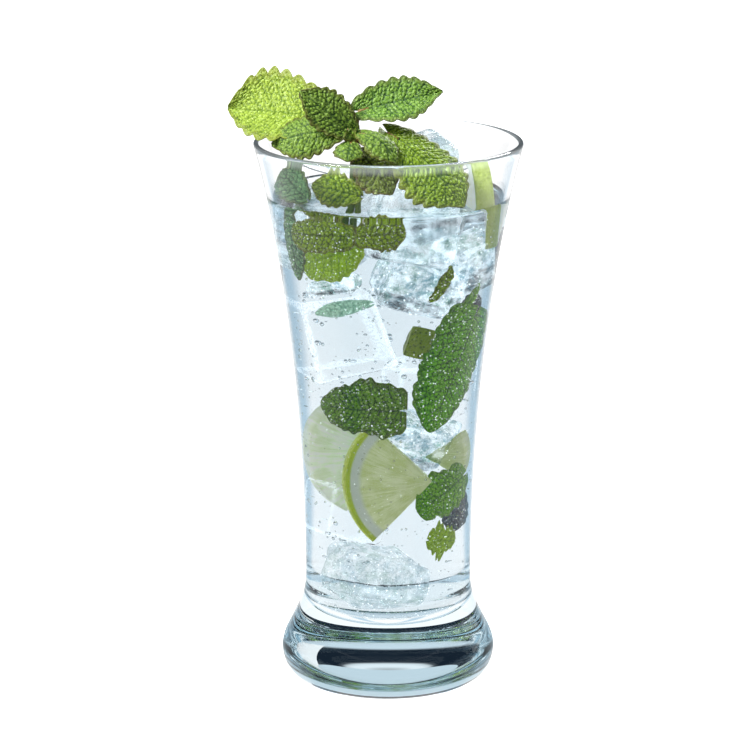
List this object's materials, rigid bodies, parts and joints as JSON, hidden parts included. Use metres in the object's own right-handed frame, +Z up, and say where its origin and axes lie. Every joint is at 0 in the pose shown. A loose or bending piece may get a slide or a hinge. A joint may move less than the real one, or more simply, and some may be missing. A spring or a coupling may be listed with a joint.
{
  "type": "gin fizz",
  "caption": "Gin fizz: clear sparkling long drink with ice and lime in a flared tumbler with a thick bulging foot, topped by a leafy sprig of mint.",
  "frame": {"origin": "middle of the tumbler's flat underside, on the tumbler's axis", "axes": "+Z up along the tumbler's axis, -Y towards the front, from which the sprig's leaves spread to both sides, +X to the right seen from the front"},
  "size_m": [0.0857, 0.0786, 0.1843],
  "materials": {
    "clear_glass": "clear polished soda-lime glass",
    "drink": "clear sparkling drink with fine bubbles",
    "ice": "clear ice with cloudy and melted edges",
    "lime": "waxy yellow-green rind round moist pale flesh",
    "mint": "fresh puckered mint leaves on reddish-brown stems"
  },
  "bodies": {
    "root": {"glass": "clear_glass", "drink": "drink", "ice_cube_back": "ice", "ice_cube_front": "ice", "ice_cube_left": "ice", "lime_wedge": "lime", "mint_sprig": "mint", "mint_leaf_left": "mint", "mint_leaf_middle": "mint"}
  },
  "joints": []
}
